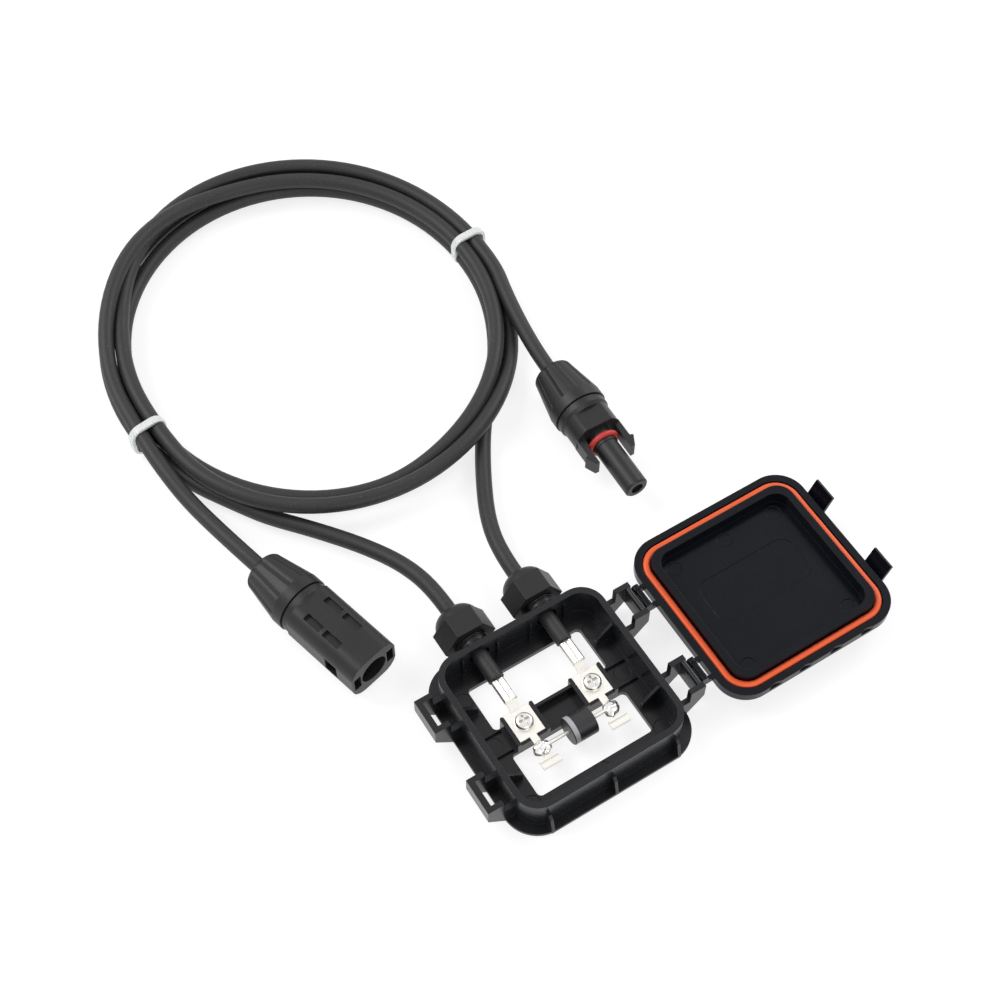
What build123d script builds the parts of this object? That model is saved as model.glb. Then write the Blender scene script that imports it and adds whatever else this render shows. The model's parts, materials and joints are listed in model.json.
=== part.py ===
from build123d import *
from math import atan2, cos, pi, radians, sin, tan
import os

# Solar junction box with two coiled leads. Millimetres, +Z up.
# Origin: middle of the underside of the tray. +X the hinge side, +Y the side where the leads leave.

# Tray
BOX_X = 57.1
BOX_Y = 55.4
BOX_H = 13.0
BOX_CORNER = 8.0
WALL = 2.0
FLOOR = 2.0
FLANGE = 3.2
FLANGE_T = 1.2
FLANGE_GAP = 44.0
WINDOW_X = 40.0
WINDOW_BACK = 20.0
WINDOW_FRONT = -20.2
WINDOW_CORNER = 1.5

# Bridge across the tray that carries the two terminals
BRIDGE_BACK = 4.2
BRIDGE_FRONT = -4.9
BRIDGE_FLOOR = 1.6
RIB_T = 1.0
BACK_RIB_TOP = 5.0
FRONT_RIB_TOP = 3.0
SEAT_Z = 4.8
SEAT_PLAY = 0.15
RAIL_T = 1.2
RAIL_TOP = 5.8
RAIL_BACK = 5.6
POCKET_SLOT = 1.1
POCKET_SLOT_INSET = 0.75

# Ribs and marks left by the mould
FRONT_FIN_X = (-22.0, 0.0, 22.0)
FRONT_FIN_T = 1.0
FRONT_FIN_TOP = 8.6
INNER_FIN_Y = (12.3, -12.3)
INNER_FIN_T = 1.0
INNER_FIN_REACH = 5.6
INNER_FIN_LOW = 2.9
INNER_FIN_TOP = 10.6
BACK_RIB_X = (-18.0, -5.8, 5.8, 18.0)
BACK_RIB_W = 0.8
MARK_R = 2.7
MARK_DEPTH = 0.2
TRAY_MARKS = ((-22.8, 17.3), (-22.8, 0.2), (-22.8, -20.9), (22.8, 17.3), (22.8, 0.2), (22.8, -20.9),
              (0.5, -22.9))

# Loops on the two sides: the hinge pair and the latch pair
LOOP_Y = 14.5
LOOP_W = 12.1
LOOP_REACH = 9.05
LOOP_ARM = 1.75
LOOP_BAR = 2.0
LOOP_END_H = 6.1
LOOP_STEP_IN = 3.75
LOOP_STEP_Z = 7.8
LOOP_FOOT = 2.9

# Lid
LID_OVER_X = 2.6
LID_OVER_Y = 2.5
LID_CORNER = 10.0
LID_T = 4.0
LID_ROOF = 1.1
LID_GAP = 0.2
LID_TOP_ROUND = 0.9
RIDGE_T = 2.4
RIDGE_H = 1.8
RIDGE_CLEAR = 0.35
GASKET_W = 2.2
GASKET_GROOVE = 2.6
GROOVE_DEPTH = 1.8
GASKET_CLEAR = 0.1
PANEL_X = 34.6
PANEL_Y = 15.7
PANEL_MID_Y = 2.7
PANEL_DEPTH = 0.2
PANEL_CORNER = 4.0
LID_MARKS = ((18.9, 19.0), (0.0, 19.0), (-19.0, 18.9), (18.6, -19.9), (-19.1, -19.8))
SCALLOP_X = (-17.0, -6.0, 5.5, 17.0)
SCALLOP_R = 6.0
SCALLOP_DEPTH = 0.45
TAB_W = 8.2
TAB_CLEAR = 0.15
TAB_SLOT = 2.0
TAB_ARM_W = 1.3
TAB_ARM_T = 2.2
TAB_KNOB_W = 1.7
TAB_KNOB_STEP = 0.4
TAB_DROP = 2.0
HOOK_W = 8.2
HOOK_OUT = 4.05
HOOK_DOWN = 4.0
HOOK_T = 1.2

# Cable glands on the back wall
GLAND_X = 12.0
GLAND_Z = 7.7
BOSS_R = 5.2
BOSS_LEN = 8.3
BOSS_BORE = 4.2
WALL_BORE = 3.4
NUT_FIT = 0.1
NUT_AF = 15.2
NUT_GAP = 2.9
NUT_HEX_LEN = 7.6
NUT_DOME = 4.0
NUT_MOUTH = 3.0
NUT_EDGE_R = 7.4
SEAL_START = 3.0
SEAL_NOSE = 1.8

# Terminals, screws, diode
TERM_X = 12.0
PLATE_W = 8.6
PLATE_BACK = 5.6
PLATE_FRONT = -4.1
PLATE_T = 0.8
NECK_W = 2.3
PAD_Y = -9.0
PAD_R = 2.2
TAIL_W = 1.8
CLIP_W = 6.2
CLIP_BACK = -12.3
CLIP_FRONT = -15.1
CLIP_LIP = 0.6
BARREL_Z = 7.3
BARREL_LOBE = 1.25
BARREL_HALF = 0.95
BARREL_BACK = 15.6
BARREL_FRONT = 8.1
JACKET_END = 16.1
STRAND_R = 0.85
SCREW_R = 1.45
SCREW_FIT = 0.05
SCREW_HEAD_R = 2.95
SCREW_HEAD_H = 2.0
SCREW_END_Z = 0.8
CROSS_W = 0.8
CROSS_L = 3.6
CROSS_DEPTH = 1.1
DIODE_R = 4.4
DIODE_LEN = 8.2
DIODE_X = 1.1
DIODE_Z = 6.4
LEAD_R = 0.6
SOLDER_R = 1.9

# Leads and their connectors
CABLE_R = 2.6
COIL_MID = (3.6, 159.8)
COIL_RX = 70.0
COIL_RY = 75.2
COIL_WIDE = 10.5
COIL_HIGH = 10.3
COIL_ROUND = 3.0
TIE_T = 1.0
TIE_W = 2.6
TIE_FIT = 0.05
TIE_TURNS = {"right": 2.6, "left": 187.6}
BEND_SHARE = 0.45

# Connectors: each starts at the back of its nut and points along its own direction
CONN_Z = 9.4
PLUG_BACK = (61.8, 100.4, CONN_Z)
PLUG_AIM = (-0.027, -1.0, 0.0)
SOCKET_BACK = (-53.6, 85.4, CONN_Z)
SOCKET_AIM = (0.246, -0.969, 0.0)
CAP_LEN = 18.4
CAP_R = 9.3
CAP_BACK_R = 6.9
CAP_BAND = 3.6
CAP_BACK_ROUND = 2.2
CAP_MOUTH_FIT = 0.3
THREAD_R = 6.6
THREAD_START = 8.6
THREAD_FIT = 0.1
FLUTES = 10
FLUTE_R = 2.0
FLUTE_DEPTH = 0.55
SLEEVE_SEAL_R = 5.2
SLEEVE_SEAL_LEN = 4.8
COLLAR_GAP = 0.3
COLLAR_R = 8.8
COLLAR_LEN = 3.4
COLLAR_CHAMFER = 1.1
SOCKET_LEN = 31.0
SOCKET_W = 17.4
SOCKET_H = 15.6
SOCKET_CORNER = 5.2
SOCKET_BORE_R = 4.8
SOCKET_BORE_LEN = 21.0
TOP_SLOT_L = 6.6
TOP_SLOT_W = 2.3
TOP_SLOT_DEPTH = 1.3
SPINE_R = 2.1
LATCH_SLOT_H = 6.2
LATCH_SLOT_T = 2.6
LATCH_SLOT_LEN = 12.5
LATCH_WINDOW = 5.0
LATCH_INSET = 6.6
PLUG_LEN = 33.8
PLUG_BLOCK_LEN = 7.0
PLUG_BLOCK_W = 16.4
ARM_LEN = 10.2
ARM_T = 2.0
ARM_H = 5.6
BARB = 1.1
HUB_R = 4.3
HUB_LEN = 5.0
RING_R = 0.9
RING_SINK = 0.55
SLEEVE_R = 4.0
SLEEVE_BORE_R = 2.1
SLEEVE_BORE_LEN = 15.0
CONTACT_FIT = 0.1
CONTACT_BORE_R = 1.2

# Worked out from the values above
wall_x = BOX_X / 2
wall_y = BOX_Y / 2
inner_x = wall_x - WALL
inner_y = wall_y - WALL
loop_out = wall_x + LOOP_REACH
loop_in = loop_out - LOOP_BAR
hinge_x = loop_out - LOOP_BAR / 2
hinge_r = LOOP_BAR / 2
hinge_z = BOX_H - hinge_r
lid_mid = 2 * hinge_x
band_closed = BOX_H + LID_GAP
band_z = 2 * hinge_z - band_closed
lid_under = band_z - LID_T
lid_x = BOX_X + 2 * LID_OVER_X
lid_y = BOX_Y + 2 * LID_OVER_Y
rim_mid_x = wall_x - WALL / 2
rim_mid_y = wall_y - WALL / 2
nut_face = wall_y + NUT_GAP
nut_hex_end = nut_face + NUT_HEX_LEN
nut_end = nut_hex_end + NUT_DOME
plate_top = SEAT_Z + PLATE_T
sides = {"left": -1, "right": 1}

os.makedirs("parts", exist_ok=True)


def keep(part, name):
    """Label one finished piece and write its file."""
    part.label = name
    export_step(part, f"parts/{name}.step")


def rounded(x, y, r):
    """A rectangle with round corners, centred, drawn in the current sketch."""
    return RectangleRounded(x, y, r)


# Tray: flange, walls, floor with two windows, bridge, ribs, loops and the two threaded bosses
def loop_profile():
    """Side view of one loop arm, from the wall outwards, as X and Z points."""
    return [
        (wall_x - WALL / 2, 0),
        (wall_x + LOOP_FOOT, 0),
        (loop_out, BOX_H - LOOP_END_H),
        (loop_out, BOX_H),
        (wall_x + LOOP_STEP_IN, BOX_H),
        (wall_x + LOOP_STEP_IN, LOOP_STEP_Z),
        (wall_x - WALL / 2, LOOP_STEP_Z),
    ]


with BuildPart() as base_tray:
    with BuildSketch() as foot:
        rounded(BOX_X + 2 * FLANGE, BOX_Y + 2 * FLANGE, BOX_CORNER + FLANGE)
        with Locations((0, wall_y + FLANGE)):
            Rectangle(FLANGE_GAP, 2 * FLANGE, mode=Mode.SUBTRACT)
    extrude(amount=FLANGE_T)
    with BuildSketch() as block:
        rounded(BOX_X, BOX_Y, BOX_CORNER)
    extrude(amount=BOX_H)
    with BuildSketch(Plane.XY.offset(FLOOR)) as cavity:
        rounded(BOX_X - 2 * WALL, BOX_Y - 2 * WALL, BOX_CORNER - WALL)
    extrude(amount=BOX_H - FLOOR, mode=Mode.SUBTRACT)
    for back, front in ((WINDOW_BACK, BRIDGE_BACK), (BRIDGE_FRONT, WINDOW_FRONT)):
        with BuildSketch() as window:
            with Locations((0, (back + front) / 2)):
                rounded(WINDOW_X, back - front, WINDOW_CORNER)
        extrude(amount=FLOOR, mode=Mode.SUBTRACT)

    # Terminal seats with a rail on each side, and the two cross ribs between them
    for side in sides.values():
        with BuildSketch() as seat:
            with Locations((side * TERM_X, (BRIDGE_BACK + BRIDGE_FRONT) / 2)):
                Rectangle(PLATE_W + 2 * SEAT_PLAY, BRIDGE_BACK - BRIDGE_FRONT)
        extrude(amount=SEAT_Z)
        rail_x = PLATE_W / 2 + SEAT_PLAY + RAIL_T / 2
        rail_y = (RAIL_BACK + BRIDGE_FRONT) / 2
        with BuildSketch() as rails:
            with Locations(*[(side * TERM_X + s * rail_x, rail_y) for s in (-1, 1)]):
                Rectangle(RAIL_T, RAIL_BACK - BRIDGE_FRONT)
        extrude(amount=RAIL_TOP)
    upright = base_tray.edges().filter_by(Axis.Z)
    fillet(upright.filter_by_position(Axis.Y, RAIL_BACK - 0.01, RAIL_BACK + 0.01), RAIL_T * 0.45)
    pocket_half = TERM_X - PLATE_W / 2 - SEAT_PLAY - RAIL_T
    with BuildSketch() as back_rib:
        with Locations((0, BRIDGE_BACK - RIB_T / 2)):
            Rectangle(2 * pocket_half + RAIL_T, RIB_T)
    extrude(amount=BACK_RIB_TOP)
    with BuildSketch() as front_rib:
        with Locations((0, BRIDGE_FRONT + RIB_T / 2)):
            Rectangle(2 * pocket_half + RAIL_T, RIB_T)
    extrude(amount=FRONT_RIB_TOP)
    with BuildSketch(Plane.XY.offset(BRIDGE_FLOOR)) as pocket:
        with Locations((0, (BRIDGE_BACK + BRIDGE_FRONT) / 2)):
            Rectangle(2 * pocket_half, BRIDGE_BACK - BRIDGE_FRONT - 2 * RIB_T)
    extrude(amount=BACK_RIB_TOP, mode=Mode.SUBTRACT)
    slot_start = TERM_X + PLATE_W / 2 + SEAT_PLAY + RAIL_T + POCKET_SLOT_INSET
    slot_len = inner_x - POCKET_SLOT_INSET - slot_start
    for side in sides.values():
        for slot_y in (BRIDGE_BACK - RIB_T, BRIDGE_FRONT + RIB_T):
            with BuildSketch() as pocket_slot:
                with Locations((side * (slot_start + slot_len / 2), slot_y)):
                    Rectangle(slot_len, POCKET_SLOT)
            extrude(amount=FLOOR, mode=Mode.SUBTRACT)
    for side in sides.values():
        with Locations((side * TERM_X, (PLATE_BACK + PLATE_FRONT) / 2, SEAT_Z)):
            Hole(SCREW_R + SCREW_FIT, SEAT_Z - SCREW_END_Z + 0.4)

    # Fins outside the front wall and inside the side walls, thin ribs inside the back wall
    for x in FRONT_FIN_X:
        with BuildSketch(Plane.YZ.offset(x - FRONT_FIN_T / 2)) as fin:
            with BuildLine():
                Polyline((-wall_y + WALL / 2, 0), (-wall_y - FLANGE, 0), (-wall_y - FLANGE, FLANGE_T),
                         (-wall_y - FLANGE * 0.62, FRONT_FIN_TOP - 1.6),
                         (-wall_y - FLANGE * 0.3, FRONT_FIN_TOP),
                         (-wall_y + WALL / 2, FRONT_FIN_TOP), close=True)
            make_face()
        extrude(amount=FRONT_FIN_T)
    fin_foot = inner_x - INNER_FIN_REACH
    fin_root = inner_x + WALL / 2
    inner_fin = [(fin_root, FLOOR / 2), (fin_foot, FLOOR / 2), (fin_foot, FLOOR + INNER_FIN_LOW),
                 (inner_x, INNER_FIN_TOP), (fin_root, INNER_FIN_TOP)]
    for side in sides.values():
        for y in INNER_FIN_Y:
            with BuildSketch(Plane.XZ.offset(-y - INNER_FIN_T / 2)) as fin:
                with BuildLine():
                    Polyline(*[(side * x, z) for x, z in inner_fin], close=True)
                make_face()
            extrude(amount=INNER_FIN_T)
    with BuildSketch(Plane.XY.offset(FLOOR / 2)) as back_ribs:
        with Locations(*[(x, inner_y) for x in BACK_RIB_X]):
            Rectangle(BACK_RIB_W, 2 * BACK_RIB_W)
    extrude(amount=INNER_FIN_TOP - FLOOR / 2)
    with BuildSketch(Plane.XY.offset(FLOOR - MARK_DEPTH)) as marks:
        with Locations(*TRAY_MARKS):
            Circle(MARK_R)
    extrude(amount=MARK_DEPTH, mode=Mode.SUBTRACT)

    # Loops: two stepped arms and an outer bar, whose top is round on the hinge side
    for side in sides.values():
        for mid in (-LOOP_Y, LOOP_Y):
            for arm_y in (mid - LOOP_W / 2, mid + LOOP_W / 2 - LOOP_ARM):
                with BuildSketch(Plane.XZ.offset(-arm_y - LOOP_ARM)) as arm:
                    with BuildLine():
                        Polyline(*[(side * x, z) for x, z in loop_profile()], close=True)
                    make_face()
                extrude(amount=LOOP_ARM)
            with BuildSketch(Plane.XZ.offset(-mid - LOOP_W / 2)) as bar:
                with BuildLine():
                    low = BOX_H - LOOP_END_H
                    Polyline((side * loop_in, hinge_z), (side * loop_in, low - 1.6), (side * loop_out, low),
                             (side * loop_out, hinge_z))
                    if side > 0:
                        ThreePointArc((loop_out, hinge_z), (hinge_x, BOX_H), (loop_in, hinge_z))
                    else:
                        Polyline((-loop_out, hinge_z), (-loop_out, BOX_H), (-loop_in, BOX_H),
                                 (-loop_in, hinge_z))
                make_face()
            extrude(amount=LOOP_W)

    # Bosses for the glands, bored through the wall
    for side in sides.values():
        boss = Plane(origin=(side * GLAND_X, inner_y, GLAND_Z), x_dir=(1, 0, 0), z_dir=(0, 1, 0))
        with BuildSketch(boss.offset(WALL / 2)):
            Circle(BOSS_R)
        extrude(amount=BOSS_LEN + WALL / 2)
        with BuildSketch(boss):
            Circle(WALL_BORE)
        extrude(amount=BOSS_LEN + WALL, mode=Mode.SUBTRACT)
        with BuildSketch(boss.offset(WALL + SEAL_START)):
            Circle(BOSS_BORE)
        extrude(amount=BOSS_LEN - SEAL_START, mode=Mode.SUBTRACT)
keep(base_tray.part, "base_tray")

# Lid, built open: its inside faces up and it is turned half round about the hinge line
near_x = lid_mid - lid_x / 2
far_x = lid_mid + lid_x / 2
tab_out = hinge_x + hinge_r + TAB_CLEAR
bar_in = near_x - TAB_SLOT
with BuildPart() as lid:
    with BuildSketch(Plane.XY.offset(lid_under)) as plate:
        with Locations((lid_mid, 0)):
            rounded(lid_x, lid_y, LID_CORNER)
    extrude(amount=LID_T)
    fillet(lid.faces().sort_by(Axis.Z)[0].edges(), LID_TOP_ROUND)
    ridge_x = 2 * (inner_x - RIDGE_CLEAR)
    ridge_y = 2 * (inner_y - RIDGE_CLEAR)
    ridge_r = BOX_CORNER - WALL - RIDGE_CLEAR
    with BuildSketch(Plane.XY.offset(band_z)) as ridge:
        with Locations((lid_mid, 0)):
            rounded(ridge_x, ridge_y, ridge_r)
    extrude(amount=RIDGE_H)
    with BuildSketch(Plane.XY.offset(lid_under + LID_ROOF)) as recess:
        with Locations((lid_mid, 0)):
            rounded(ridge_x - 2 * RIDGE_T, ridge_y - 2 * RIDGE_T, ridge_r - RIDGE_T + 1.5)
    extrude(amount=LID_T + RIDGE_H, mode=Mode.SUBTRACT)
    with BuildSketch(Plane.XY.offset(band_z - GROOVE_DEPTH)) as groove:
        with Locations((lid_mid, 0)):
            rounded(2 * rim_mid_x + GASKET_GROOVE, 2 * rim_mid_y + GASKET_GROOVE,
                    BOX_CORNER - WALL / 2 + GASKET_GROOVE / 2)
            RectangleRounded(ridge_x, ridge_y, ridge_r, mode=Mode.SUBTRACT)
    extrude(amount=GROOVE_DEPTH, mode=Mode.SUBTRACT)
    with BuildSketch(Plane.XY.offset(lid_under + LID_ROOF - PANEL_DEPTH)) as panel:
        with Locations((lid_mid, PANEL_MID_Y)):
            rounded(PANEL_X, PANEL_Y, PANEL_CORNER)
        with Locations(*[(lid_mid + x, y) for x, y in LID_MARKS]):
            Circle(MARK_R - 0.3)
    extrude(amount=PANEL_DEPTH, mode=Mode.SUBTRACT)
    with BuildSketch(Plane.XY.offset(lid_under + LID_T / 2)) as scallops:
        with Locations(*[(lid_mid + x, -lid_y / 2 - SCALLOP_R + SCALLOP_DEPTH) for x in SCALLOP_X]):
            Circle(SCALLOP_R)
    extrude(amount=LID_T / 2, mode=Mode.SUBTRACT)
    for mid in (-LOOP_Y, LOOP_Y):
        # Hinge tab: two arms and a cross bar with thick ends, resting against the loop's bar
        for s in (-1, 1):
            with BuildSketch(Plane.XY.offset(band_z - TAB_ARM_T)) as tab_arm:
                with Locations(((near_x + tab_out) / 2 + 0.4, mid + s * (TAB_W - TAB_ARM_W) / 2)):
                    Rectangle(near_x - tab_out + 0.2, TAB_ARM_W)
            extrude(amount=TAB_ARM_T)
            with BuildSketch(Plane.XZ.offset(-mid - s * (TAB_W - TAB_KNOB_W) / 2 - TAB_KNOB_W / 2)) as knob:
                with Locations(((tab_out + bar_in) / 2, band_z + (TAB_DROP - TAB_ARM_T) / 2)):
                    rounded(bar_in - tab_out, TAB_ARM_T + TAB_DROP, 0.7)
            extrude(amount=TAB_KNOB_W)
        with BuildSketch(Plane.XZ.offset(-mid - TAB_W / 2 + TAB_KNOB_W / 2)) as bar:
            with Locations(((tab_out + bar_in + TAB_KNOB_STEP) / 2, band_z + (TAB_DROP - TAB_ARM_T) / 2)):
                rounded(bar_in - tab_out - TAB_KNOB_STEP, TAB_ARM_T + TAB_DROP - 2 * TAB_KNOB_STEP, 0.5)
        extrude(amount=TAB_W - TAB_KNOB_W)
        # Latch hook: a slanted plate that drops into the loop on the other side
        with BuildSketch(Plane.XZ.offset(-mid - HOOK_W / 2)) as hook:
            with BuildLine():
                Polyline((far_x - 0.6, lid_under + 0.9), (far_x + 1.1, lid_under + 0.5),
                         (far_x + HOOK_OUT, band_z + HOOK_DOWN - 0.6),
                         (far_x + HOOK_OUT - HOOK_T * 0.7, band_z + HOOK_DOWN),
                         (far_x + 0.7, lid_under + 0.5 + HOOK_T + 0.8),
                         (far_x - 0.6, lid_under + 0.9 + HOOK_T + 0.6), close=True)
            make_face()
        extrude(amount=HOOK_W)
keep(lid.part, "lid")

with BuildPart() as lid_gasket:
    with BuildSketch(Plane.XY.offset(band_z - GROOVE_DEPTH)) as ring:
        with Locations((lid_mid, 0)):
            rounded(2 * rim_mid_x + GASKET_W, 2 * rim_mid_y + GASKET_W, BOX_CORNER - WALL / 2 + GASKET_W / 2)
            RectangleRounded(2 * rim_mid_x - GASKET_W, 2 * rim_mid_y - GASKET_W,
                             BOX_CORNER - WALL / 2 - GASKET_W / 2, mode=Mode.SUBTRACT)
    extrude(amount=GROOVE_DEPTH + LID_GAP - GASKET_CLEAR)
    fillet(lid_gasket.faces().sort_by(Axis.Z)[-1].edges(), GASKET_W * 0.4)
keep(lid_gasket.part, "lid_gasket")

# Glands: a domed cap nut and a rubber bush in each boss
for name, side in sides.items():
    axis_plane = Plane(origin=(side * GLAND_X, nut_face, GLAND_Z), x_dir=(1, 0, 0), z_dir=(0, 1, 0))
    with BuildPart() as gland_nut:
        with BuildSketch(axis_plane) as hexagon:
            RegularPolygon(NUT_AF / 2, 6, major_radius=False)
        extrude(amount=NUT_HEX_LEN)
        with BuildSketch(axis_plane.offset(NUT_HEX_LEN)) as dome_low:
            Circle(NUT_EDGE_R)
        with BuildSketch(axis_plane.offset(NUT_HEX_LEN + NUT_DOME * 0.55)) as dome_mid:
            Circle(NUT_EDGE_R * 0.88)
        with BuildSketch(axis_plane.offset(NUT_HEX_LEN + NUT_DOME)) as dome_top:
            Circle(NUT_EDGE_R * 0.58)
        loft()
        with BuildSketch(axis_plane):
            Circle(BOSS_R + NUT_FIT)
        extrude(amount=BOSS_LEN - NUT_GAP + 0.6, mode=Mode.SUBTRACT)
        with BuildSketch(axis_plane.offset(BOSS_LEN - NUT_GAP + 0.6)):
            Circle(BOSS_R + NUT_FIT)
        with BuildSketch(axis_plane.offset(NUT_HEX_LEN + NUT_DOME - 1.0)):
            Circle(NUT_MOUTH)
        loft(mode=Mode.SUBTRACT)
        with BuildSketch(axis_plane.offset(NUT_HEX_LEN + NUT_DOME - 1.1)):
            Circle(NUT_MOUTH)
        extrude(amount=1.2, mode=Mode.SUBTRACT)
    keep(gland_nut.part, f"gland_nut_{name}")
    seal_at = (side * GLAND_X, wall_y + SEAL_START, GLAND_Z)
    seal_plane = Plane(origin=seal_at, x_dir=(1, 0, 0), z_dir=(0, 1, 0))
    with BuildPart() as gland_seal:
        with BuildSketch(seal_plane):
            Circle(BOSS_BORE)
        extrude(amount=BOSS_LEN - SEAL_START)
        with BuildSketch(seal_plane.offset(BOSS_LEN - SEAL_START)):
            Circle(BOSS_BORE)
        with BuildSketch(seal_plane.offset(BOSS_LEN - SEAL_START + SEAL_NOSE)):
            Circle(BOSS_BORE - 0.5)
        loft()
        with BuildSketch(seal_plane):
            Circle(CABLE_R)
        extrude(amount=BOSS_LEN + SEAL_NOSE, mode=Mode.SUBTRACT)
    keep(gland_seal.part, f"gland_seal_{name}")

# Lead ends inside the box, terminals, screws and solder
for name, side in sides.items():
    x0 = side * TERM_X
    tail_plane = Plane(origin=(x0, nut_end, GLAND_Z), x_dir=(1, 0, 0), z_dir=(0, -1, 0))
    with BuildPart() as cable_tail:
        with BuildSketch(tail_plane):
            Circle(CABLE_R)
        extrude(amount=nut_end - JACKET_END)
    keep(cable_tail.part, f"cable_tail_{name}")
    with BuildPart() as conductor:
        with BuildSketch(Plane(origin=(x0, JACKET_END, BARREL_Z), x_dir=(1, 0, 0), z_dir=(0, -1, 0))):
            Circle(STRAND_R)
        extrude(amount=JACKET_END - BARREL_FRONT - 0.4)
    keep(conductor.part, f"conductor_{name}")
    with BuildPart() as terminal:
        with BuildSketch(Plane.XY.offset(SEAT_Z)) as strip:
            with Locations((x0, (PLATE_BACK + PLATE_FRONT) / 2)):
                Rectangle(PLATE_W, PLATE_BACK - PLATE_FRONT)
            with Locations((x0, (PLATE_FRONT + PAD_Y) / 2)):
                Rectangle(NECK_W, PLATE_FRONT - PAD_Y)
            with Locations((x0, PAD_Y)):
                Circle(PAD_R)
            with Locations((x0, (PAD_Y + CLIP_BACK) / 2)):
                Rectangle(TAIL_W, PAD_Y - CLIP_BACK + 0.4)
            with Locations((x0, (CLIP_BACK + CLIP_FRONT) / 2)):
                Rectangle(CLIP_W, CLIP_BACK - CLIP_FRONT)
        extrude(amount=PLATE_T)
        with BuildSketch(Plane.XY.offset(plate_top)) as lips:
            with Locations((x0, CLIP_BACK - CLIP_LIP / 2), (x0, CLIP_FRONT + CLIP_LIP / 2)):
                Rectangle(CLIP_W, CLIP_LIP)
        extrude(amount=CLIP_LIP)
        with BuildSketch(Plane.YZ.offset(x0 - BARREL_LOBE - 0.4)) as ramp:
            with BuildLine():
                Polyline((PLATE_BACK - 0.6, SEAT_Z), (PLATE_BACK, SEAT_Z),
                         (BARREL_FRONT + 1.0, BARREL_Z - 1.1), (BARREL_FRONT + 1.0, BARREL_Z),
                         (BARREL_FRONT, BARREL_Z - 0.3), (PLATE_BACK - 0.6, plate_top), close=True)
            make_face()
        extrude(amount=2 * BARREL_LOBE + 0.8)
        barrel_plane = Plane(origin=(x0, BARREL_BACK, BARREL_Z), x_dir=(1, 0, 0), z_dir=(0, -1, 0))
        with BuildSketch(barrel_plane) as barrel:
            with Locations((-BARREL_HALF, 0), (BARREL_HALF, 0)):
                Circle(BARREL_LOBE)
        extrude(amount=BARREL_BACK - BARREL_FRONT)
        with BuildSketch(barrel_plane):
            Circle(STRAND_R)
        extrude(amount=BARREL_BACK - BARREL_FRONT - 0.4, mode=Mode.SUBTRACT)
        with Locations((x0, (PLATE_BACK + PLATE_FRONT) / 2, plate_top)):
            Hole(SCREW_R + 3 * SCREW_FIT, PLATE_T)
    keep(terminal.part, f"terminal_{name}")
    with BuildPart() as terminal_screw:
        screw_plane = Plane(origin=(x0, (PLATE_BACK + PLATE_FRONT) / 2, SCREW_END_Z))
        with BuildSketch(screw_plane):
            Circle(SCREW_R)
        extrude(amount=plate_top - SCREW_END_Z)
        with BuildSketch(screw_plane.offset(plate_top - SCREW_END_Z)):
            Circle(SCREW_HEAD_R)
        extrude(amount=SCREW_HEAD_H)
        fillet(terminal_screw.faces().sort_by(Axis.Z)[-1].edges(), SCREW_HEAD_H * 0.7)
        with BuildSketch(screw_plane.offset(plate_top + SCREW_HEAD_H - SCREW_END_Z)) as cross:
            Rectangle(CROSS_L, CROSS_W)
            Rectangle(CROSS_W, CROSS_L)
        extrude(amount=-CROSS_DEPTH, taper=8, mode=Mode.SUBTRACT)
    keep(terminal_screw.part, f"terminal_screw_{name}")
    with BuildPart() as solder:
        with Locations((x0, PAD_Y, plate_top)):
            Sphere(SOLDER_R, arc_size1=0, arc_size2=90, align=(Align.CENTER, Align.CENTER, Align.MIN))
        wire_at = (x0 + side * 2 * SOLDER_R, PAD_Y, DIODE_Z)
        with BuildSketch(Plane(origin=wire_at, x_dir=(0, 1, 0), z_dir=(-side, 0, 0))):
            Circle(LEAD_R)
        extrude(amount=4 * SOLDER_R, mode=Mode.SUBTRACT)
    keep(solder.part, f"solder_{name}")

# Bypass diode and its two leads
diode_end = (DIODE_X - DIODE_LEN / 2, PAD_Y, DIODE_Z)
diode_plane = Plane(origin=diode_end, x_dir=(0, 1, 0), z_dir=(1, 0, 0))
with BuildPart() as diode_body:
    with BuildSketch(diode_plane):
        Circle(DIODE_R)
    extrude(amount=DIODE_LEN)
    fillet(diode_body.edges().filter_by(GeomType.CIRCLE), 0.35)
    with BuildSketch(diode_plane):
        Circle(LEAD_R)
    extrude(amount=DIODE_LEN, mode=Mode.SUBTRACT)
keep(diode_body.part, "diode_body")
wire_half = TERM_X + SOLDER_R * 0.9
with BuildPart() as diode_leads:
    with BuildSketch(Plane(origin=(-wire_half, PAD_Y, DIODE_Z), x_dir=(0, 1, 0), z_dir=(1, 0, 0))):
        Circle(LEAD_R)
    extrude(amount=2 * wire_half)
keep(diode_leads.part, "diode_leads")

# Leads: straight runs joined by tangent arcs, from the gland or the connector to the coil
def tube(name, points):
    """One stretch of lead along its points, with each bend as large as its two runs allow."""
    path = [Vector(*p) for p in points]
    radii = []
    for before, here, after in zip(path, path[1:], path[2:]):
        half_turn = radians((here - before).get_angle(after - here)) / 2
        radii.append(BEND_SHARE * min((here - before).length, (after - here).length) / tan(half_turn))
    with BuildPart() as lead:
        with BuildLine():
            FilletPolyline(*path, radius=radii)
        with BuildSketch(Plane(origin=path[0], z_dir=path[1] - path[0])):
            Circle(CABLE_R)
        sweep()
    keep(lead.part, name)


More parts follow.
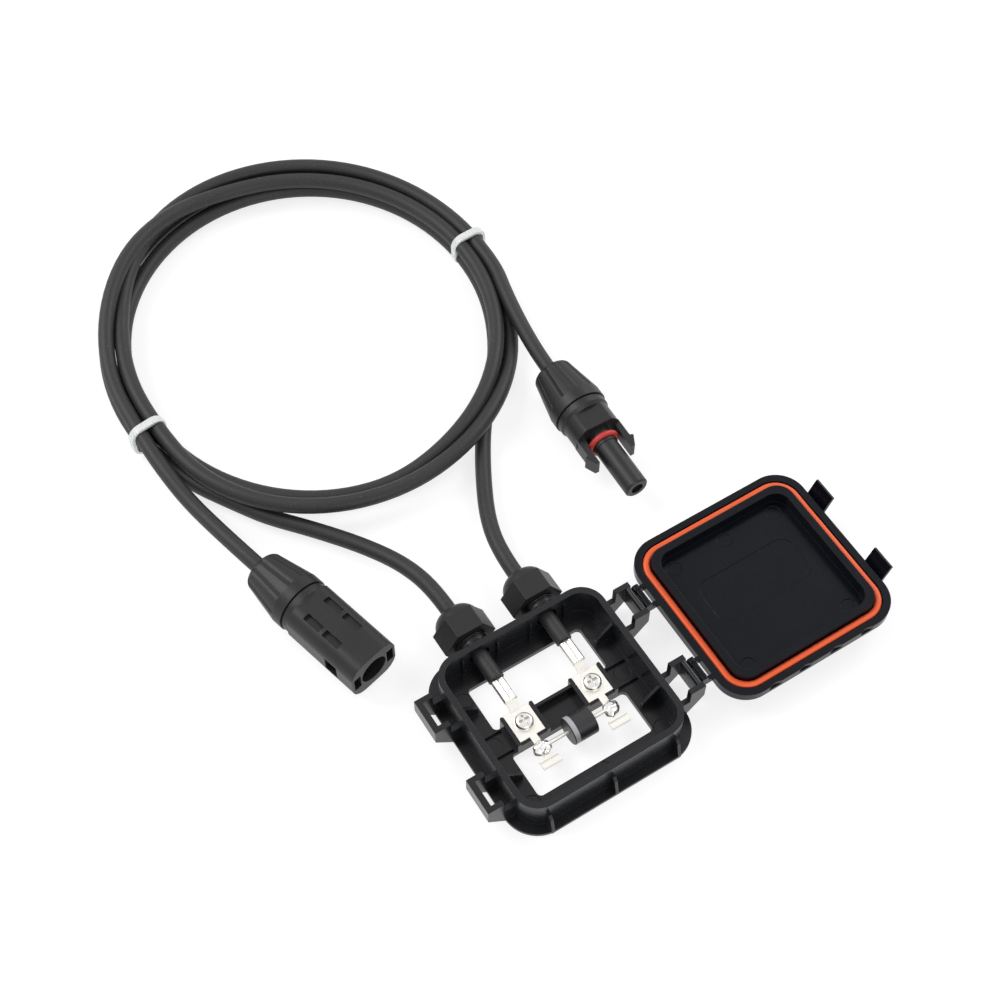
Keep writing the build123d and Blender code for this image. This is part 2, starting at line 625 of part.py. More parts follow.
coil_low = TIE_T
lie = coil_low + CABLE_R + 0.1
tube("cable_right_run", [(GLAND_X, nut_end, GLAND_Z), (GLAND_X, nut_end + 9.8, GLAND_Z), (15.4, 65.2, 6.2),
                         (23.2, 80.4, 4.2), (31.4, 94.0, lie), (36.4, 101.6, lie)])
tube("cable_left_run", [(-GLAND_X, nut_end, GLAND_Z), (-GLAND_X, nut_end + 9.6, GLAND_Z), (-14.9, 65.0, 6.3),
                        (-21.6, 78.4, 4.3), (-31.6, 92.0, lie), (-41.6, 103.6, lie), (-46.2, 110.4, lie)])


def along(back, aim, distance):
    """The point at a distance from a connector's back, along its direction."""
    return tuple(b + distance * a for b, a in zip(back, Vector(*aim).normalized()))


inside = THREAD_START + 0.4
outside = 4.0
tube("socket_lead", [along(SOCKET_BACK, SOCKET_AIM, inside), along(SOCKET_BACK, SOCKET_AIM, -outside),
                     (-58.3, 105.4, 8.4), (-60.9, 120.4, 6.0), (-62.2, 134.6, 4.2), (-62.6, 147.6, lie)])
tube("plug_lead", [along(PLUG_BACK, PLUG_AIM, inside), along(PLUG_BACK, PLUG_AIM, -outside),
                   (63.0, 119.4, 7.9), (64.6, 132.4, 6.0)])

with BuildPart() as cable_coil:
    with BuildSketch(Plane.XY.offset(coil_low)) as hank:
        with Locations(COIL_MID):
            Ellipse(COIL_RX, COIL_RY)
            Ellipse(COIL_RX - COIL_WIDE, COIL_RY - COIL_WIDE, mode=Mode.SUBTRACT)
    extrude(amount=COIL_HIGH)
    fillet(cable_coil.edges(), COIL_ROUND)
keep(cable_coil.part, "cable_coil")

for name, turn in TIE_TURNS.items():
    mid_rx = COIL_RX - COIL_WIDE / 2
    mid_ry = COIL_RY - COIL_WIDE / 2
    c, s = cos(radians(turn)), sin(radians(turn))
    middle = (COIL_MID[0] + mid_rx * c, COIL_MID[1] + mid_ry * s, coil_low + COIL_HIGH / 2)
    tie_plane = Plane(origin=middle, x_dir=(mid_ry * c, mid_rx * s, 0), z_dir=(-mid_rx * s, mid_ry * c, 0))
    with BuildPart() as cable_tie:
        with BuildSketch(tie_plane.offset(-TIE_W / 2)) as band:
            wide = COIL_WIDE + 2 * TIE_FIT
            high = COIL_HIGH + 2 * TIE_FIT
            rounded(wide + 2 * TIE_T - 2 * TIE_FIT, high + 2 * TIE_T - 2 * TIE_FIT, COIL_ROUND + TIE_T)
            RectangleRounded(wide, high, COIL_ROUND, mode=Mode.SUBTRACT)
        extrude(amount=TIE_W)
    keep(cable_tie.part, f"cable_tie_{name}")


# Connectors: a fluted cap nut, a rubber sleeve, a body and a metal contact
def across(back, aim, distance):
    """A plane square to a connector's direction, its local X level and to the right."""
    level = Vector(aim[1], -aim[0], 0)
    return Plane(origin=along(back, aim, distance), x_dir=level, z_dir=Vector(*aim))


def lengthwise(back, aim):
    """The upright plane through a connector's axis, its local X forwards and its local Y up."""
    return Plane(origin=back, x_dir=Vector(*aim), z_dir=Vector(-aim[1], aim[0], 0) * -1)


def cap_nut(name, back, aim):
    """The tapered nut, with long flutes that fade before a plain band at the front."""
    taper_end = CAP_LEN - CAP_BAND
    slope = atan2(CAP_R - CAP_BACK_R, taper_end - CAP_BACK_ROUND)
    axis = Axis(back, Vector(*aim))
    forward = Vector(*aim).normalized()
    mouth = CABLE_R + CAP_MOUTH_FIT
    with BuildPart() as cap:
        with BuildSketch(lengthwise(back, aim)) as outline:
            with BuildLine():
                Polyline((CAP_BACK_ROUND, CAP_BACK_R), (taper_end, CAP_R), (CAP_LEN, CAP_R),
                         (CAP_LEN, THREAD_R + THREAD_FIT), (THREAD_START - 0.4, THREAD_R + THREAD_FIT),
                         (THREAD_START - 3.0, SLEEVE_SEAL_R + THREAD_FIT),
                         (2.0, SLEEVE_SEAL_R + THREAD_FIT - 1.2), (2.0, mouth), (0, mouth),
                         (0, CAP_BACK_R - CAP_BACK_ROUND))
                RadiusArc((0, CAP_BACK_R - CAP_BACK_ROUND), (CAP_BACK_ROUND, CAP_BACK_R), CAP_BACK_ROUND)
            make_face()
        revolve(axis=axis)
        for i in range(FLUTES):
            angle = 2 * pi * (i + 0.5) / FLUTES
            spoke = Vector(forward.Y, -forward.X, 0) * cos(angle) + Vector(0, 0, 1) * sin(angle)
            run = forward * cos(slope) + spoke * sin(slope)
            start = Vector(*back) + forward * 0.4 + spoke * (CAP_BACK_R - 0.3 + FLUTE_R - FLUTE_DEPTH)
            with BuildSketch(Plane(origin=start, z_dir=run)):
                Circle(FLUTE_R)
            extrude(amount=taper_end - 0.6, mode=Mode.SUBTRACT)
    keep(cap.part, name)


def sleeve_seal(name, back, aim):
    """The rubber sleeve that the nut squeezes round the lead, behind the threaded barrel."""
    start = THREAD_START - SLEEVE_SEAL_LEN - 0.3
    with BuildPart() as seal:
        with BuildSketch(across(back, aim, start)):
            Circle(SLEEVE_SEAL_R - 1.4)
        with BuildSketch(across(back, aim, start + SLEEVE_SEAL_LEN)):
            Circle(SLEEVE_SEAL_R - 0.2)
        loft()
        with BuildSketch(across(back, aim, start)):
            Circle(CABLE_R)
        extrude(amount=SLEEVE_SEAL_LEN, mode=Mode.SUBTRACT)
    keep(seal.part, name)


for name, back, aim in (("plug", PLUG_BACK, PLUG_AIM), ("socket", SOCKET_BACK, SOCKET_AIM)):
    cap_nut(f"{name}_nut", back, aim)
    sleeve_seal(f"{name}_seal", back, aim)

collar_at = CAP_LEN + COLLAR_GAP
block_at = collar_at + COLLAR_LEN

# Socket: a flat-topped housing with a round bore, side latch windows and pockets on top
socket_end = CAP_LEN + SOCKET_LEN
with BuildPart() as socket_body:
    with BuildSketch(across(SOCKET_BACK, SOCKET_AIM, THREAD_START)):
        Circle(THREAD_R)
    extrude(amount=collar_at - THREAD_START)
    with BuildSketch(across(SOCKET_BACK, SOCKET_AIM, collar_at)):
        Circle(COLLAR_R)
    extrude(amount=COLLAR_LEN)
    chamfer(socket_body.edges().filter_by(GeomType.CIRCLE).sort_by(Axis(SOCKET_BACK, SOCKET_AIM))[-1],
            COLLAR_CHAMFER)
    with BuildSketch(across(SOCKET_BACK, SOCKET_AIM, block_at - COLLAR_CHAMFER)) as housing:
        rounded(SOCKET_W, SOCKET_H, SOCKET_CORNER)
    extrude(amount=socket_end - block_at + COLLAR_CHAMFER)
    with BuildSketch(across(SOCKET_BACK, SOCKET_AIM, block_at)) as spine:
        with Locations((0, SOCKET_H / 2 - SPINE_R * 0.62)):
            Circle(SPINE_R)
    extrude(amount=SOCKET_LEN * 0.42)
    with BuildSketch(across(SOCKET_BACK, SOCKET_AIM, socket_end)) as bore:
        Circle(SOCKET_BORE_R)
    extrude(amount=-SOCKET_BORE_LEN, mode=Mode.SUBTRACT)
    for s in (-1, 1):
        with BuildSketch(across(SOCKET_BACK, SOCKET_AIM, socket_end)) as entry:
            with Locations((s * LATCH_INSET, 0)):
                Rectangle(LATCH_SLOT_T, LATCH_SLOT_H)
        extrude(amount=-LATCH_SLOT_LEN, mode=Mode.SUBTRACT)
        window_at = socket_end - LATCH_SLOT_LEN + LATCH_WINDOW / 2 + 0.6
        window_mid = Vector(*along(SOCKET_BACK, SOCKET_AIM, window_at))
        outward = Vector(SOCKET_AIM[1], -SOCKET_AIM[0], 0).normalized() * s
        with BuildSketch(Plane(origin=window_mid + outward * LATCH_INSET, x_dir=SOCKET_AIM, z_dir=outward)):
            Rectangle(LATCH_WINDOW, LATCH_SLOT_H)
        extrude(amount=SOCKET_W / 2, mode=Mode.SUBTRACT)
    top = Plane(origin=along(SOCKET_BACK, SOCKET_AIM, block_at), x_dir=SOCKET_AIM, z_dir=(0, 0, 1))
    with BuildSketch(top.offset(SOCKET_H / 2)) as pockets:
        for s in (-1, 1):
            with Locations((3.2 + TOP_SLOT_L / 2, s * 4.1), (3.2 + TOP_SLOT_L * 1.5 + 1.4, s * 4.1)):
                Rectangle(TOP_SLOT_L, TOP_SLOT_W)
    extrude(amount=-TOP_SLOT_DEPTH, mode=Mode.SUBTRACT)
    with BuildSketch(across(SOCKET_BACK, SOCKET_AIM, THREAD_START)):
        Circle(CABLE_R)
    extrude(amount=SOCKET_LEN / 2, mode=Mode.SUBTRACT)
keep(socket_body.part, "socket_body")

# Plug: a block with two latch arms, a hub with its ring, and a hollow sleeve
plug_end = CAP_LEN + PLUG_LEN
arms_at = block_at + PLUG_BLOCK_LEN
hub_end = arms_at + HUB_LEN
ring_mid = arms_at + HUB_LEN * 0.6
with BuildPart() as plug_body:
    with BuildSketch(across(PLUG_BACK, PLUG_AIM, THREAD_START)):
        Circle(THREAD_R)
    extrude(amount=collar_at - THREAD_START)
    with BuildSketch(across(PLUG_BACK, PLUG_AIM, collar_at)):
        Circle(COLLAR_R)
    extrude(amount=COLLAR_LEN)
    chamfer(plug_body.edges().filter_by(GeomType.CIRCLE).sort_by(Axis(PLUG_BACK, PLUG_AIM))[-1],
            COLLAR_CHAMFER)
    with BuildSketch(across(PLUG_BACK, PLUG_AIM, block_at - COLLAR_CHAMFER)) as block:
        Circle(PLUG_BLOCK_W / 2)
        Rectangle(PLUG_BLOCK_W, SOCKET_H * 0.86, mode=Mode.INTERSECT)
    extrude(amount=PLUG_BLOCK_LEN + COLLAR_CHAMFER)
    with BuildSketch(across(PLUG_BACK, PLUG_AIM, arms_at)) as hub:
        Circle(HUB_R)
    extrude(amount=HUB_LEN)
    with BuildSketch(across(PLUG_BACK, PLUG_AIM, hub_end)) as sleeve:
        Circle(SLEEVE_R)
    extrude(amount=plug_end - hub_end)
    chamfer(plug_body.edges().filter_by(GeomType.CIRCLE).sort_by(Axis(PLUG_BACK, PLUG_AIM))[-1], 0.5)
    with BuildSketch(across(PLUG_BACK, PLUG_AIM, plug_end)) as sleeve_bore:
        Circle(SLEEVE_BORE_R)
    extrude(amount=-SLEEVE_BORE_LEN, mode=Mode.SUBTRACT)
    for s in (-1, 1):
        arm_out = PLUG_BLOCK_W / 2 - 0.3
        level = Plane(origin=along(PLUG_BACK, PLUG_AIM, arms_at), x_dir=PLUG_AIM, z_dir=(0, 0, 1))
        with BuildSketch(level.offset(-ARM_H / 2)) as latch_arm:
            with BuildLine():
                Polyline((-1.0, s * arm_out), (ARM_LEN - 4.2, s * arm_out),
                         (ARM_LEN - 3.6, s * (arm_out + BARB)),
                         (ARM_LEN, s * (arm_out - 0.6)), (ARM_LEN, s * (arm_out - ARM_T)),
                         (-1.0, s * (arm_out - ARM_T)), close=True)
            make_face()
        extrude(amount=ARM_H)
    with BuildSketch(lengthwise(PLUG_BACK, PLUG_AIM)) as ring_groove:
        with Locations((ring_mid, HUB_R + RING_R - RING_SINK)):
            Circle(RING_R)
    revolve(axis=Axis(PLUG_BACK, PLUG_AIM), mode=Mode.SUBTRACT)
    with BuildSketch(across(PLUG_BACK, PLUG_AIM, THREAD_START)):
        Circle(CABLE_R)
    extrude(amount=plug_end / 3, mode=Mode.SUBTRACT)
keep(plug_body.part, "plug_body")
with BuildPart() as plug_o_ring:
    with BuildSketch(lengthwise(PLUG_BACK, PLUG_AIM)) as ring_round:
        with Locations((ring_mid, HUB_R + RING_R - RING_SINK)):
            Circle(RING_R)
    revolve(axis=Axis(PLUG_BACK, PLUG_AIM))
keep(plug_o_ring.part, "plug_o_ring")

# Metal contacts: a hollow pin in the plug's sleeve, a slimmer pin down the socket's bore
with BuildPart() as plug_contact:
    with BuildSketch(across(PLUG_BACK, PLUG_AIM, plug_end - SLEEVE_BORE_LEN)):
        Circle(SLEEVE_BORE_R - CONTACT_FIT)
    extrude(amount=SLEEVE_BORE_LEN - 2.0)
    with BuildSketch(across(PLUG_BACK, PLUG_AIM, plug_end - 2.0)):
        Circle(CONTACT_BORE_R)
    extrude(amount=-SLEEVE_BORE_LEN + 4.0, mode=Mode.SUBTRACT)
keep(plug_contact.part, "plug_contact")
with BuildPart() as socket_contact:
    with BuildSketch(across(SOCKET_BACK, SOCKET_AIM, socket_end - SOCKET_BORE_LEN)):
        Circle(SLEEVE_BORE_R - CONTACT_FIT)
    extrude(amount=1.6)
    with BuildSketch(across(SOCKET_BACK, SOCKET_AIM, socket_end - SOCKET_BORE_LEN + 1.6)):
        Circle(CONTACT_BORE_R - CONTACT_FIT)
    extrude(amount=SOCKET_BORE_LEN * 0.6)
keep(socket_contact.part, "socket_contact")
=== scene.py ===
"""Solar junction box with its lid open, two coiled leads and a pair of connectors."""
import json
import logging
import math
from collections.abc import Iterable
from dataclasses import dataclass, field
from enum import Enum

import bmesh
import bpy
from mathutils import Matrix, Vector, noise

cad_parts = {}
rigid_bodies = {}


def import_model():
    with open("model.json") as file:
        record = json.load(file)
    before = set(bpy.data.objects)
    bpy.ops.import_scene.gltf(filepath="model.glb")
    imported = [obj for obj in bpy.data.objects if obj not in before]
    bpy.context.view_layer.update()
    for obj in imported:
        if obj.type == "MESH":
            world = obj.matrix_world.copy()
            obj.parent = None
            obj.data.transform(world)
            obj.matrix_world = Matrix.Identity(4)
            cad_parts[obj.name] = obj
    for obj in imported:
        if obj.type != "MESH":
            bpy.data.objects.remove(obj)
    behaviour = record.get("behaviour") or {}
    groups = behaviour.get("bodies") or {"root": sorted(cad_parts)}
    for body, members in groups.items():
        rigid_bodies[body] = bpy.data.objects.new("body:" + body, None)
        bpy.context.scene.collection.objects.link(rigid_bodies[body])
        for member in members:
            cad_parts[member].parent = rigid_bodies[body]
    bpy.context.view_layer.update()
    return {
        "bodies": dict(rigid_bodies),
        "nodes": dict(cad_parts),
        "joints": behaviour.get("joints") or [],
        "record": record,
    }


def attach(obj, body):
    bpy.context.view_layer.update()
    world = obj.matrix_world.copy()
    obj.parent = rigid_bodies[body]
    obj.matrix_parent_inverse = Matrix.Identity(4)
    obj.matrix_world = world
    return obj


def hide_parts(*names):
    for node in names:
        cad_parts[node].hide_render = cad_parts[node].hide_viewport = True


LOG = logging.getLogger("junction_box")
MM = 0.001
WHITE = (1.0, 1.0, 1.0, 1.0)

# The two sides of the box, and how far out each gland, barrel and solder pad stands, in millimetres.
SIDES = (("left", -1), ("right", 1))
GLAND_X = 12.0

# The coil's middle line, an ellipse, in millimetres.
COIL_MIDDLE = (3.6, 159.8)
COIL_RADIUS_X = 64.75
COIL_RADIUS_Y = 69.95

# Three numbers, of a place or a colour.
Point = tuple[float, float, float]
# A noise: cells per metre, and how many finer layers it has.
Cells = tuple[float, float]
# A mask: where it starts to rise, and how far past that it is full.
Rise = tuple[float, float]


class Signal:
    """A node socket that takes part in Python arithmetic."""

    def __init__(self, recipe: "Recipe", socket: bpy.types.NodeSocket) -> None:
        """Keep the socket and the recipe that it belongs to."""
        self.recipe = recipe
        self.socket = socket

    def _math(self, operation: str, *operands: "Signal | float") -> "Signal":
        """Add one Math node.

        Args:
            operation: the Math node's operation.
            operands: sockets or plain numbers, in the node's order.
        Returns:
            The node's result.
        """
        return self.recipe.node("ShaderNodeMath", {"operation": operation}, *operands)

    def __add__(self, other: "Signal | float") -> "Signal":
        """Sum."""
        return self._math("ADD", self, other)

    __radd__ = __add__

    def __mul__(self, other: "Signal | float") -> "Signal":
        """Product."""
        return self._math("MULTIPLY", self, other)

    __rmul__ = __mul__

    def __sub__(self, other: "Signal | float") -> "Signal":
        """Difference."""
        return self._math("SUBTRACT", self, other)

    def __rsub__(self, other: "Signal | float") -> "Signal":
        """Difference from a number."""
        return self._math("SUBTRACT", other, self)

    def above(self, edge: float, soft: float) -> "Signal":
        """A mask that rises from 0 to 1 across an edge.

        Args:
            edge: the value where the mask starts to rise.
            soft: how far past the edge it reaches 1.
        Returns:
            The mask.
        """
        return self.recipe.node(
            "ShaderNodeMapRange", {"interpolation_type": "SMOOTHSTEP"}, self, edge, edge + soft)

    def at_most(self, top: float) -> "Signal":
        """The smaller of this and a number."""
        return self._math("MINIMUM", self, top)


class Recipe:
    """One material's node tree and the few ways that nodes are added to it."""

    edge_samples: int = 4

    def __init__(self, name: str) -> None:
        """Start a material that holds only a Principled shader.

        Args:
            name: the material's name.
        """
        self.material = bpy.data.materials.new(name)
        self.material.use_nodes = True
        self.tree = self.material.node_tree
        self.shader = self.tree.nodes["Principled BSDF"]

    def node(self, kind: str, settings: dict[str, object],
             *values: "Signal | float | tuple | None") -> Signal:
        """Add a node.

        Args:
            kind: the node's type.
            settings: its properties, set before any socket.
            values: a link or value for each input in turn, None to leave one alone.
        Returns:
            The node's first output.
        """
        made = self.tree.nodes.new(kind)
        for key, value in settings.items():
            setattr(made, key, value)
        sockets = [s for s in made.inputs if s.enabled]
        for socket, value in zip(sockets, values):
            self.feed(socket, value)
        return Signal(self, next(s for s in made.outputs if s.enabled))

    def feed(self, socket: bpy.types.NodeSocket, value: "Signal | float | tuple | None") -> None:
        """Link a signal to a socket, or set the socket's own value.

        Args:
            socket: the input to feed.
            value: a signal or a plain value, None to leave the socket alone.
        """
        if isinstance(value, Signal):
            self.tree.links.new(value.socket, socket)
        elif value is not None:
            socket.default_value = value

    def place(self) -> Signal:
        """Object coordinates."""
        made = self.tree.nodes.new("ShaderNodeTexCoord")
        return Signal(self, made.outputs["Object"])

    def axis(self, name: str) -> Signal:
        """One of the object's own coordinates.

        Args:
            name: X, Y or Z.
        Returns:
            The coordinate, in metres.
        """
        made = self.tree.nodes.new("ShaderNodeSeparateXYZ")
        self.feed(made.inputs[0], self.place())
        return Signal(self, made.outputs[name])

    def noise(self, scale: float, detail: float = 3.0, where: Signal | None = None) -> Signal:
        """Noise from 0 to 1.

        Args:
            scale: cells per metre.
            detail: how many finer layers it has.
            where: the coordinates, the object's own if left out.
        Returns:
            The noise.
        """
        settings = {"noise_dimensions": "3D", "normalize": True}
        return self.node("ShaderNodeTexNoise", settings, where or self.place(), scale, detail)

    def stretched(self, x: float, y: float, z: float) -> Signal:
        """Object coordinates multiplied along each axis."""
        return self.node("ShaderNodeMapping", {}, self.place(), None, None, (x, y, z))

    def mix(self, amount: Signal, low: "Signal | Point", high: "Signal | Point") -> Signal:
        """A colour between two others.

        Args:
            amount: 0 for the first colour, 1 for the second.
            low: the first colour.
            high: the second colour.
        Returns:
            The mixed colour.
        """
        made = self.tree.nodes.new("ShaderNodeMix")
        made.data_type = "RGBA"
        self.feed(made.inputs["Factor"], amount)
        for key, value in (("A", low), ("B", high)):
            socket = next(s for s in made.inputs if s.name == key and s.type == "RGBA")
            self.feed(socket, value if isinstance(value, Signal) else (*value, 1.0))
        return Signal(self, next(s for s in made.outputs if s.type == "RGBA"))

    def relief(self, height: Signal, depth: float, edge: float = 0.0) -> None:
        """Bump the surface and, if asked, soften its edges.

        Args:
            height: 0 to 1.
            depth: how deep the relief is, in metres.
            edge: the radius that sharp edges seem to have, in metres.
        """
        made = self.tree.nodes.new("ShaderNodeBump")
        made.inputs["Strength"].default_value = 1.0
        made.inputs["Distance"].default_value = depth
        self.feed(made.inputs["Height"], height)
        if edge:
            soft = self.tree.nodes.new("ShaderNodeBevel")
            soft.samples = self.edge_samples
            soft.inputs["Radius"].default_value = edge
            self.tree.links.new(soft.outputs["Normal"], made.inputs["Normal"])
        self.tree.links.new(made.outputs["Normal"], self.shader.inputs["Normal"])

    def set(self, **values: "Signal | float | tuple") -> None:
        """Set or link the shader's sockets, named with underscores for spaces."""
        for key, value in values.items():
            self.feed(self.shader.inputs[key.replace("_", " ")], value)


def tint(colour: Point, factor: float, lift: float = 0.0) -> Point:
    """A colour times a factor plus a lift, with no channel above 1."""
    return tuple(min(1.0, c * factor + lift) for c in colour)


@dataclass(frozen=True)
class MouldedPlastic:
    """Black moulded plastic with a fine grain, a few dust specks and soft edges."""

    name: str
    colour: Point
    roughness: float
    grain: float = 0.000012
    grain_scale: float = 2600.0
    edge: float = 0.00025
    dust: float = 0.5
    shine: float = 0.35
    grain_layers: float = 2.0
    cloud: Cells = (90.0, 2.0)
    cloud_dark: float = 0.82
    cloud_pale: float = 1.25
    cloud_rough: float = 0.12
    specks: Cells = (3800.0, 0.0)
    speck_rise: Rise = (0.76, 0.04)
    speck_lift: float = 0.05
    speck_rough: float = 0.15

    def build(self) -> bpy.types.Material:
        """Make the material.

        Returns:
            The plastic.
        """
        r = Recipe(self.name)
        cloud = r.noise(*self.cloud)
        grain = r.noise(self.grain_scale, self.grain_layers)
        specks = r.noise(*self.specks).above(*self.speck_rise) * self.dust
        base = r.mix(cloud, tint(self.colour, self.cloud_dark), tint(self.colour, self.cloud_pale))
        rough = self.roughness - self.cloud_rough / 2
        r.set(Base_Color=r.mix(specks, base, tint(self.colour, 1.0, self.speck_lift)),
              Roughness=rough + cloud * self.cloud_rough + specks * self.speck_rough,
              Specular_IOR_Level=self.shine)
        r.relief(grain, self.grain, self.edge)
        return r.material


@dataclass(frozen=True)
class TinPlate:
    """Tin-plated metal with rolled streaks and a dull bloom."""

    name: str
    colour: Point = (0.88, 0.86, 0.81)
    stain: Point = (0.50, 0.43, 0.33)
    stained: float = 0.25
    roughness: float = 0.26
    edge: float = 0.00012
    bloom: Cells = (420.0, 4.0)
    bloom_rough: float = 0.16
    stain_rise: Rise = (0.52, 0.22)
    stain_rough: float = 0.3
    streak: Cells = (900.0, 2.0)
    streak_stretch: Point = (1.0, 0.12, 1.0)
    streak_depth: float = 0.000008

    def build(self) -> bpy.types.Material:
        """Make the material.

        Returns:
            The plated metal.
        """
        r = Recipe(self.name)
        bloom = r.noise(*self.bloom)
        streak = r.noise(*self.streak, r.stretched(*self.streak_stretch))
        mark = bloom.above(*self.stain_rise) * self.stained
        r.set(Base_Color=r.mix(mark, self.colour, self.stain), Metallic=1.0,
              Roughness=self.roughness + bloom * self.bloom_rough + mark * self.stain_rough)
        r.relief(streak, self.streak_depth, self.edge)
        return r.material


@dataclass(frozen=True)
class SolderMetal:
    """A bright lump of solder with brown flux round its foot."""

    name: str
    colour: Point = (0.83, 0.82, 0.80)
    flux: Point = (0.20, 0.12, 0.06)
    foot_rise: Rise = (5.6 * MM, 0.7 * MM)
    foot_share: float = 0.75
    lumps: Cells = (700.0, 3.0)
    lump_rise: Rise = (0.55, 0.2)
    lump_share: float = 0.35
    lump_depth: float = 0.00012
    metallic: float = 0.9
    roughness: float = 0.22
    flux_rough: float = 0.3

    def build(self) -> bpy.types.Material:
        """Make the material.

        Returns:
            The solder.
        """
        r = Recipe(self.name)
        lump = r.noise(*self.lumps)
        height = r.axis("Z")
        low = 1.0 - height.above(*self.foot_rise)
        stain = (low * self.foot_share + lump.above(*self.lump_rise) * self.lump_share).at_most(1.0)
        r.set(Base_Color=r.mix(stain, self.colour, self.flux), Metallic=self.metallic,
              Roughness=self.roughness + stain * self.flux_rough)
        r.relief(lump, self.lump_depth)
        return r.material


@dataclass(frozen=True)
class DiodeCase:
    """Moulded epoxy with a pale cathode band at one end."""

    name: str
    band_start: float
    band_end: float
    band_soft: float = 0.04 * MM
    colour: Point = (0.016, 0.016, 0.018)
    ink: Point = (0.42, 0.43, 0.44)
    wear: Cells = (1500.0, 3.0)
    wear_rise: Rise = (0.28, 0.1)
    wear_rough: float = 0.1
    roughness: float = 0.34
    skin: Cells = (3000.0, 2.0)
    skin_depth: float = 0.00001
    edge: float = 0.0002

    def build(self) -> bpy.types.Material:
        """Make the material.

        Returns:
            The epoxy with its band.
        """
        r = Recipe(self.name)
        along = r.axis("X")
        worn = r.noise(*self.wear)
        band = along.above(self.band_start, self.band_soft) - along.above(self.band_end, self.band_soft)
        ink = band * worn.above(*self.wear_rise)
        r.set(Base_Color=r.mix(ink, self.colour, self.ink),
              Roughness=self.roughness + worn * self.wear_rough)
        r.relief(r.noise(*self.skin), self.skin_depth, self.edge)
        return r.material


@dataclass(frozen=True)
class SoftRubber:
    """Coloured silicone with a faint bloom and a moulded skin."""

    name: str
    colour: Point
    roughness: float = 0.42
    bloom: Cells = (160.0, 3.0)
    bloom_pale: float = 1.12
    bloom_lift: float = 0.015
    bloom_rough: float = 0.1
    sheen: float = 0.08
    skin: Cells = (2400.0, 2.0)
    skin_depth: float = 0.000012

    def build(self) -> bpy.types.Material:
        """Make the material.

        Returns:
            The rubber.
        """
        r = Recipe(self.name)
        bloom = r.noise(*self.bloom)
        skin = r.noise(*self.skin)
        r.set(Base_Color=r.mix(bloom, self.colour, tint(self.colour, self.bloom_pale, self.bloom_lift)),
              Roughness=self.roughness + bloom * self.bloom_rough, Sheen_Weight=self.sheen)
        r.relief(skin, self.skin_depth)
        return r.material


@dataclass(frozen=True)
class LeadJacket:
    """Extruded cable jacket, dark grey, with fine dust and a satin skin."""

    name: str
    colour: Point = (0.023, 0.023, 0.024)
    roughness: float = 0.44
    shine: float = 0.36
    cloud: Cells = (55.0, 3.0)
    cloud_dark: float = 0.78
    cloud_pale: float = 1.25
    cloud_rough: float = 0.12
    dust: Point = (0.16, 0.16, 0.16)
    specks: Cells = (2900.0, 0.0)
    speck_rise: Rise = (0.77, 0.03)
    speck_share: float = 0.5
    skin: Cells = (1500.0, 3.0)
    skin_depth: float = 0.00002

    def build(self) -> bpy.types.Material:
        """Make the material.

        Returns:
            The jacket's plastic.
        """
        r = Recipe(self.name)
        cloud = r.noise(*self.cloud)
        specks = r.noise(*self.specks).above(*self.speck_rise)
        low, high = tint(self.colour, self.cloud_dark), tint(self.colour, self.cloud_pale)
        r.set(Base_Color=r.mix(specks * self.speck_share, r.mix(cloud, low, high), self.dust),
              Roughness=self.roughness + cloud * self.cloud_rough, Specular_IOR_Level=self.shine)
        r.relief(r.noise(*self.skin), self.skin_depth)
        return r.material


@dataclass(frozen=True)
class WhiteNylon:
    """The milky plastic of a cable tie."""

    name: str
    colour: Point = (0.84, 0.85, 0.84)
    roughness: float = 0.3
    cloud: Cells = (240.0, 2.0)
    cloud_dark: float = 0.93
    cloud_rough: float = 0.12
    milk: float = 0.15
    milk_depth: float = 0.001
    skin: Cells = (1800.0, 2.0)
    skin_depth: float = 0.00001
    edge: float = 0.0002

    def build(self) -> bpy.types.Material:
        """Make the material.

        Returns:
            The nylon.
        """
        r = Recipe(self.name)
        cloud = r.noise(*self.cloud)
        r.set(Base_Color=r.mix(cloud, tint(self.colour, self.cloud_dark), self.colour),
              Roughness=self.roughness + cloud * self.cloud_rough,
              Subsurface_Weight=self.milk, Subsurface_Scale=self.milk_depth)
        r.relief(r.noise(*self.skin), self.skin_depth, self.edge)
        return r.material


class Finish(Enum):
    """Every finish on the object, by the name of the slot that it dresses."""

    tray_plastic = MouldedPlastic("tray black", (0.008, 0.0086, 0.0105), 0.25)
    lid_plastic = MouldedPlastic("lid black", (0.0035, 0.0042, 0.0075), 0.2, edge=0.0003, shine=0.17)
    gland_plastic = MouldedPlastic("gland black", (0.012, 0.012, 0.013), 0.42, 0.00004, 1700.0, 0.0004)
    connector_plastic = MouldedPlastic(
        "connector black", (0.013, 0.013, 0.014), 0.4, 0.00004, 1900.0, 0.0003)
    gasket_rubber = SoftRubber("gasket orange", (0.86, 0.105, 0.016), 0.36)
    o_ring_rubber = SoftRubber("ring red", (0.55, 0.022, 0.018), 0.36)
    seal_rubber = SoftRubber("seal black", (0.016, 0.016, 0.016), 0.5)
    cable_jacket = LeadJacket("lead jacket")
    copper_strand = TinPlate("tinned strand", (0.78, 0.70, 0.60), stained=0.5)
    tinned_terminal = TinPlate("terminal tin")
    screw_steel = TinPlate("screw plate", (0.76, 0.75, 0.72), stained=0.15, roughness=0.2)
    solder = SolderMetal("solder")
    diode_epoxy = DiodeCase("diode case", -2.7 * MM, -1.2 * MM)
    tinned_wire = TinPlate("tinned wire", stained=0.4)
    tie_plastic = WhiteNylon("tie white")
    contact_metal = TinPlate("contact tin", (0.74, 0.71, 0.65))


